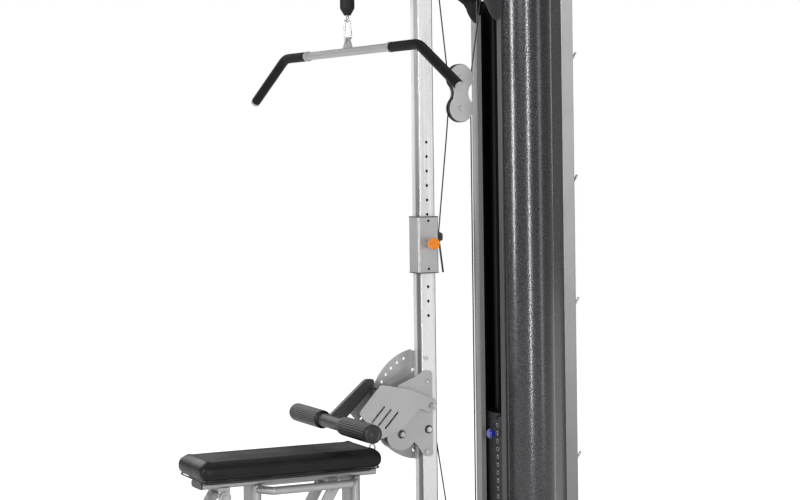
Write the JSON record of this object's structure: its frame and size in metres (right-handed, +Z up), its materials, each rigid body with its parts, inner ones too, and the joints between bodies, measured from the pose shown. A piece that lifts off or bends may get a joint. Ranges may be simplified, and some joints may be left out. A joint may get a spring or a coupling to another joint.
{
  "type": "lat pulldown machine",
  "caption": "Free-standing lat pulldown and low row machine with a weight stack in a curved shroud, an adjustable cable carriage, a swing-up seat and a roller hold-down.",
  "frame": {"origin": "centre of the machine's footprint box, on the floor", "axes": "+Z up, +Y from the seat towards the weight tower, +X to the right of a person on the seat"},
  "size_m": [1.4602, 1.62, 2.219],
  "materials": {
    "dark_frame": "hammered grey powder coat",
    "bright_tube": "bright plated",
    "satin_silver": "satin silver paint",
    "rubber": "matt",
    "moulded_black": "moulded",
    "plated_steel": "zinc plated",
    "stack_iron": "black paint",
    "nylon": "moulded",
    "knob_blue": "gloss",
    "knob_orange": "gloss",
    "cord_navy": "coated cord",
    "roller_foam": "fluted foam",
    "pad_vinyl": "grained vinyl",
    "cable_jacket": "nylon jacket"
  },
  "bodies": {
    "frame": {"base_beam": "dark_frame", "cross_feet": "dark_frame", "rubber_feet": "rubber", "foot_plates": "satin_silver", "tower_base": "dark_frame", "upright_post": "bright_tube", "boom_channel": "dark_frame", "boom_braces": "dark_frame", "rear_column": "satin_silver", "column_cap": "moulded_black", "front_trims": "satin_silver", "shroud_right": "dark_frame", "shroud_left": "dark_frame", "accessory_pegs": "plated_steel", "guide_rods": "plated_steel", "stack_buffers": "rubber", "weight_plates": "stack_iron", "frame_bolts": "plated_steel", "sector_plate": "satin_silver", "row_plates": "satin_silver", "hinge_bolt": "plated_steel", "seat_posts": "satin_silver", "cable_fixed": "cable_jacket"},
    "stack": {"lifted_plates": "stack_iron", "head_plate": "stack_iron", "selector_stem": "plated_steel", "cable_stack": "cable_jacket"},
    "selector": {"selector_pin": "plated_steel", "pin_knob": "knob_blue", "pin_lanyard": "cord_navy"},
    "bar_line": {"rubber_stop": "rubber", "cable_bar": "cable_jacket"},
    "bar": {"carabiner": "plated_steel", "lat_bar": "satin_silver", "bar_grips": "rubber"},
    "front_pulley": {"front_sheave": "nylon"},
    "boom_pulley": {"boom_sheave": "nylon"},
    "tower_pulley": {"tower_sheave": "nylon"},
    "floating": {"float_plates": "satin_silver", "cable_float": "cable_jacket"},
    "floating_pulley_upper": {"float_sheave_upper": "nylon"},
    "floating_pulley_lower": {"float_sheave_lower": "nylon"},
    "row_pulley_front": {"row_sheave_front": "nylon"},
    "row_pulley_rear": {"row_sheave_rear": "nylon"},
    "base_pulley": {"base_sheave": "nylon"},
    "carriage": {"carriage_sleeve": "satin_silver", "carriage_bushings": "moulded_black", "cable_clevis": "moulded_black", "cable_carriage": "cable_jacket"},
    "carriage_lock": {"carriage_knob": "knob_orange"},
    "lever": {"lever_plates": "satin_silver", "lever_arm": "dark_frame"},
    "lever_lock": {"hold_pin": "knob_orange"},
    "thigh_roller_right": {"roller_right": "roller_foam"},
    "thigh_roller_left": {"roller_left": "roller_foam"},
    "seat": {"seat_pad": "pad_vinyl", "seat_board": "moulded_black", "seat_rail": "satin_silver"},
    "seat_front_links": {"front_links": "satin_silver"},
    "seat_rear_links": {"rear_links": "satin_silver"}
  },
  "joints": [
    {"name": "stack_lift", "type": "slide", "parent": "frame", "child": "stack", "axis": [0, 0, 1], "range_m": [0, 0.8], "deforming": ["cable_stack"]},
    {"name": "bar_pull", "type": "slide", "parent": "frame", "child": "bar_line", "axis": [0, 0, -1], "range_m": [0, 0.8], "deforming": ["cable_bar"]},
    {"name": "bar_swivel", "type": "hinge", "parent": "bar_line", "child": "bar", "pos_m": [0, -0.11, 1.99], "axis": [0, 0, 1], "range_deg": [-62, 55]},
    {"name": "front_pulley_spin", "type": "hinge", "parent": "frame", "child": "front_pulley", "pos_m": [0, -0.066, 2.15], "axis": [1, 0, 0], "continuous": true},
    {"name": "boom_pulley_spin", "type": "hinge", "parent": "frame", "child": "boom_pulley", "pos_m": [0, 0.186, 2.15], "axis": [1, 0, 0], "continuous": true},
    {"name": "tower_pulley_spin", "type": "hinge", "parent": "frame", "child": "tower_pulley", "pos_m": [0, 0.466, 2.15], "axis": [1, 0, 0], "continuous": true},
    {"name": "carriage_slide", "type": "slide", "parent": "frame", "child": "carriage", "axis": [0, 0, 1], "range_m": [-0.1, 0.25], "deforming": ["cable_carriage"]},
    {"name": "floating_slide", "type": "slide", "parent": "frame", "child": "floating", "axis": [0, 0, 1], "range_m": [-0.05, 0.125], "deforming": ["cable_float"]},
    {"name": "floating_upper_spin", "type": "hinge", "parent": "floating", "child": "floating_pulley_upper", "pos_m": [0, 0.317, 1.771], "axis": [1, 0, 0], "continuous": true},
    {"name": "floating_lower_spin", "type": "hinge", "parent": "floating", "child": "floating_pulley_lower", "pos_m": [0, 0.317, 1.663], "axis": [1, 0, 0], "continuous": true},
    {"name": "row_front_spin", "type": "hinge", "parent": "frame", "child": "row_pulley_front", "pos_m": [0, 0.059, 0.544], "axis": [1, 0, 0], "continuous": true},
    {"name": "row_rear_spin", "type": "hinge", "parent": "frame", "child": "row_pulley_rear", "pos_m": [0, 0.162, 0.554], "axis": [1, 0, 0], "continuous": true},
    {"name": "base_pulley_spin", "type": "hinge", "parent": "frame", "child": "base_pulley", "pos_m": [0, 0.317, 0.112], "axis": [1, 0, 0], "continuous": true},
    {"name": "carriage_lock_slide", "type": "slide", "parent": "carriage", "child": "carriage_lock", "axis": [1, 0, 0], "range_m": [-0.012, 0]},
    {"name": "selector_slide", "type": "slide", "parent": "stack", "child": "selector", "axis": [0, -1, 0], "range_m": [0, 0.028]},
    {"name": "hold_down_swing", "type": "hinge", "parent": "frame", "child": "lever", "pos_m": [0, 0.17, 0.636], "axis": [-1, 0, 0], "range_deg": [0, 48.5]},
    {"name": "hold_down_lock", "type": "slide", "parent": "lever", "child": "lever_lock", "axis": [1, 0, 0], "range_m": [0, 0.012]},
    {"name": "right_roller_spin", "type": "hinge", "parent": "lever", "child": "thigh_roller_right", "pos_m": [0, -0.18, 0.597], "axis": [1, 0, 0], "continuous": true},
    {"name": "left_roller_spin", "type": "hinge", "parent": "lever", "child": "thigh_roller_left", "pos_m": [0, -0.18, 0.597], "axis": [1, 0, 0], "continuous": true},
    {"name": "seat_swing", "type": "hinge", "parent": "frame", "child": "seat_rear_links", "pos_m": [0, -0.378, 0.105], "axis": [1, 0, 0], "range_deg": [0, 25]},
    {"name": "seat_level", "type": "hinge", "parent": "seat_rear_links", "child": "seat", "pos_m": [0, -0.20804, 0.38787], "axis": [1, 0, 0], "range_deg": [-25, 0]},
    {"name": "seat_front_swing", "type": "hinge", "parent": "frame", "child": "seat_front_links", "pos_m": [0, -0.764, 0.105], "axis": [1, 0, 0], "range_deg": [0, 25]}
  ],
  "couplings": [
    {"joint": "bar_pull", "follows": "stack_lift", "ratio": 1},
    {"joint": "front_pulley_spin", "follows": "stack_lift", "rad_per_m": 22.727},
    {"joint": "boom_pulley_spin", "follows": "stack_lift", "rad_per_m": 22.727},
    {"joint": "tower_pulley_spin", "follows": "stack_lift", "rad_per_m": 22.727},
    {"joint": "floating_upper_spin", "follows": "stack_lift", "rad_per_m": -22.727},
    {"joint": "floating_slide", "follows": "carriage_slide", "ratio": 0.5},
    {"joint": "floating_lower_spin", "follows": "carriage_slide", "rad_per_m": -11.364},
    {"joint": "seat_level", "follows": "seat_swing", "ratio": -1},
    {"joint": "seat_front_swing", "follows": "seat_swing", "ratio": 1}
  ]
}
